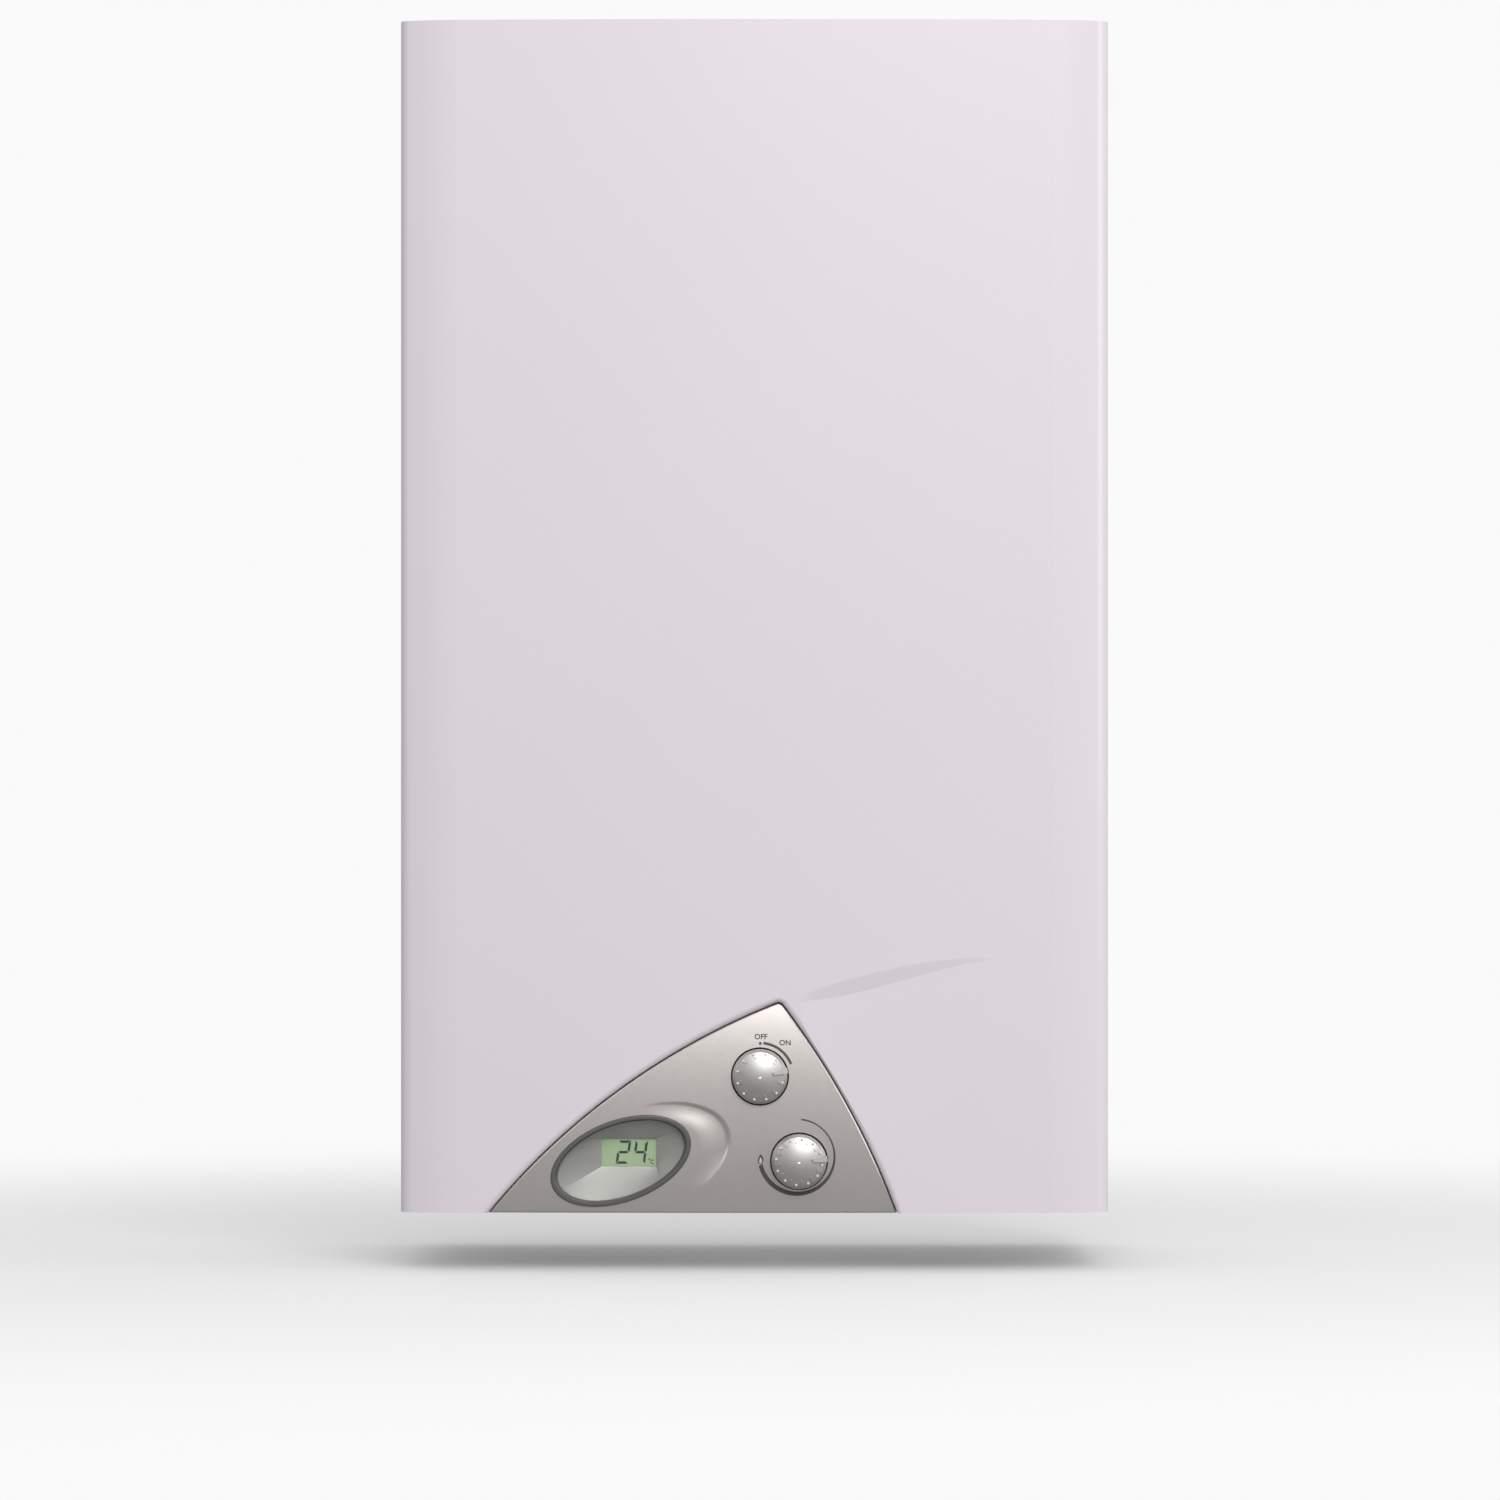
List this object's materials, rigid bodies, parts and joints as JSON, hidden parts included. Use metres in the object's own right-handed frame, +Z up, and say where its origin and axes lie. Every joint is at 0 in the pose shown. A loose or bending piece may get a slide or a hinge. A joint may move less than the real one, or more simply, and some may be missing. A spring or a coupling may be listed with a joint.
{
  "type": "gas water heater",
  "caption": "Wall-hung gas water heater with bowed sheet casing, arched silver control panel, oval display, two turning knobs, flue collar and bottom connections",
  "frame": {"origin": "on the wall face, midway between the two hanging holes", "axes": "X to the viewer's right, Y into the wall, Z up; the front faces -Y"},
  "size_m": [0.352, 0.2137, 0.592],
  "materials": {
    "front_casing": "satin pearl enamel",
    "control_panel": "satin silver lacquer",
    "display_rim": "satin dark grey",
    "display_lens": "clear",
    "display_reflector": "satin grey",
    "lcd_glass": "reflective green LCD",
    "lcd_board": "green board",
    "on_off_knob": "satin silver lacquer",
    "flame_knob": "satin silver lacquer",
    "back_frame": "zinc-plated sheet",
    "top_cover": "satin pearl enamel",
    "flue_collar": "aluminised",
    "draught_hood": "aluminised",
    "heat_exchanger_core": "tinned copper",
    "combustion_chamber": "copper sheet",
    "cold_pipe": "copper",
    "hot_pipe": "copper",
    "burner_ramps": "stainless",
    "burner_tray": "aluminised",
    "gas_manifold": "zinc-plated",
    "gas_pipe": "drawn tube",
    "gas_valve_body": "die-cast",
    "spindle_glands": "plated",
    "on_off_spindle": "turned",
    "flame_spindle": "turned",
    "push_rod": "stainless",
    "poppet_spring": "spring steel",
    "solenoid": "zinc-plated can",
    "chamber_cap": "turned",
    "plunger": "turned",
    "water_valve_body": "cast",
    "diaphragm": "moulded",
    "water_valve_cover": "cast",
    "microswitch": "black",
    "switch_lever": "stainless",
    "pipe_plate": "zinc-plated sheet",
    "gas_inlet": "turned",
    "cold_inlet": "turned",
    "hot_outlet": "turned",
    "union_nuts": "turned",
    "ignition_electrode": "glazed sleeve",
    "flame_probe": "glazed sleeve",
    "overheat_cutout": "phenolic",
    "control_module": "black",
    "battery_box": "black",
    "battery_door": "black",
    "cells": "printed can",
    "cell_contacts": "nickel-plated",
    "leads": "insulated wire"
  },
  "bodies": {
    "heater": {"front_casing": "front_casing", "control_panel": "control_panel", "display_rim": "display_rim", "display_lens": "display_lens", "display_reflector": "display_reflector", "lcd_glass": "lcd_glass", "lcd_board": "lcd_board", "back_frame": "back_frame", "top_cover": "top_cover", "flue_collar": "flue_collar", "draught_hood": "draught_hood", "heat_exchanger_core": "heat_exchanger_core", "combustion_chamber": "combustion_chamber", "cold_pipe": "cold_pipe", "hot_pipe": "hot_pipe", "burner_ramps": "burner_ramps", "burner_tray": "burner_tray", "gas_manifold": "gas_manifold", "gas_pipe": "gas_pipe", "gas_valve_body": "gas_valve_body", "spindle_glands": "spindle_glands", "poppet_spring": "poppet_spring", "solenoid": "solenoid", "chamber_cap": "chamber_cap", "water_valve_body": "water_valve_body", "diaphragm": "diaphragm", "water_valve_cover": "water_valve_cover", "microswitch": "microswitch", "pipe_plate": "pipe_plate", "gas_inlet": "gas_inlet", "cold_inlet": "cold_inlet", "hot_outlet": "hot_outlet", "union_nuts": "union_nuts", "ignition_electrode": "ignition_electrode", "flame_probe": "flame_probe", "overheat_cutout": "overheat_cutout", "control_module": "control_module", "battery_box": "battery_box", "cells": "cells", "cell_contacts": "cell_contacts", "leads": "leads"},
    "on_off": {"on_off_knob": "on_off_knob", "on_off_spindle": "on_off_spindle"},
    "flame": {"flame_knob": "flame_knob", "flame_spindle": "flame_spindle"},
    "push_rod": {"push_rod": "push_rod"},
    "switch_lever": {"switch_lever": "switch_lever"},
    "plunger": {"plunger": "plunger"},
    "battery_door": {"battery_door": "battery_door"}
  },
  "joints": [
    {"name": "on_off_turn", "type": "hinge", "parent": "heater", "child": "on_off", "pos_m": [0.0027, -0.205, -0.4801], "axis": [0, -1, 0], "range_deg": [0, 76]},
    {"name": "flame_turn", "type": "hinge", "parent": "heater", "child": "flame", "pos_m": [0.0221, -0.205, -0.5222], "axis": [0, -1, 0], "range_deg": [-174, 83]},
    {"name": "valve_rod", "type": "slide", "parent": "heater", "child": "push_rod", "axis": [-1, 0, 0], "range_m": [0, 0.004], "stiffness_N_per_m": 400, "deforming": ["poppet_spring"]},
    {"name": "switch_turn", "type": "hinge", "parent": "heater", "child": "switch_lever", "pos_m": [0.0671, -0.108, -0.466], "axis": [0, 1, 0], "range_deg": [0, 16]},
    {"name": "plunger_slide", "type": "slide", "parent": "heater", "child": "plunger", "axis": [-1, 0, 0], "range_m": [0, 0.0025], "stiffness_N_per_m": 200},
    {"name": "battery_door_turn", "type": "hinge", "parent": "heater", "child": "battery_door", "pos_m": [-0.125, -0.10825, -0.545], "axis": [1, 0, 0], "range_deg": [0, 95]}
  ],
  "couplings": [
    {"joint": "switch_turn", "follows": "valve_rod", "rad_per_m": 60.2}
  ]
}
